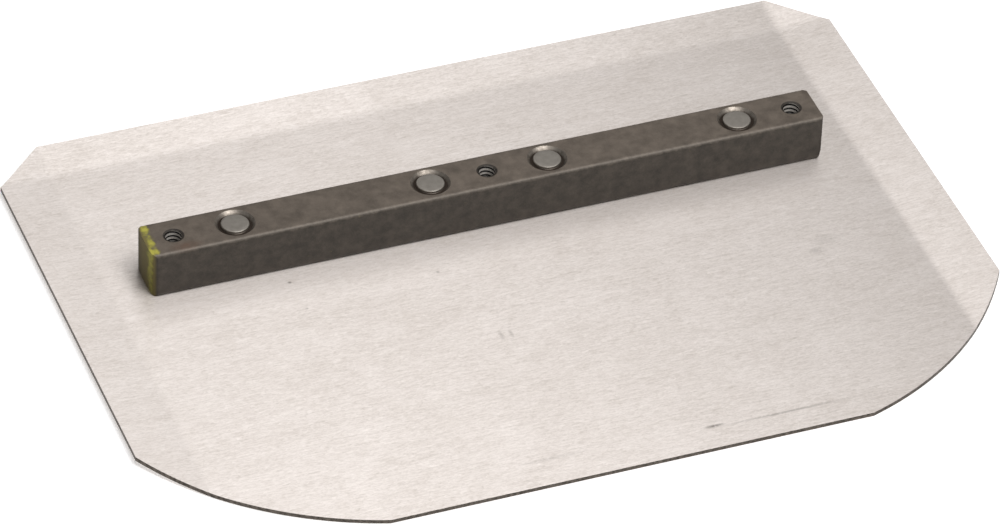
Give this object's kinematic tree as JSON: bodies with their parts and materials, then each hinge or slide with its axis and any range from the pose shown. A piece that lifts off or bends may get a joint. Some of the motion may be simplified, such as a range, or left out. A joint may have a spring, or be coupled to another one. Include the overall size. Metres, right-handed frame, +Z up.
{
  "type": "power trowel float blade",
  "caption": "Steel float blade for smoothing wet concrete: a thin plate with turned-up side and back margins, and a tapped square bar riveted across it.",
  "frame": {"origin": "on the flat working underside, in the middle of the plate's outline", "axes": "+X along the plate and the bar, +Y towards the turned-up back edge, +Z up, out of the tapped holes"},
  "size_m": [0.3556, 0.254, 0.022],
  "materials": {
    "plate_steel": "fine brushed, satin",
    "bar_steel": "dark mill scale, worn bright along its edges",
    "rivet_steel": "dull grey, hammered and ground flat"
  },
  "bodies": {
    "root": {"blade_plate": "plate_steel", "mounting_bar": "bar_steel", "rivet_outer_left": "rivet_steel", "rivet_inner_left": "rivet_steel", "rivet_inner_right": "rivet_steel", "rivet_outer_right": "rivet_steel"}
  },
  "joints": []
}
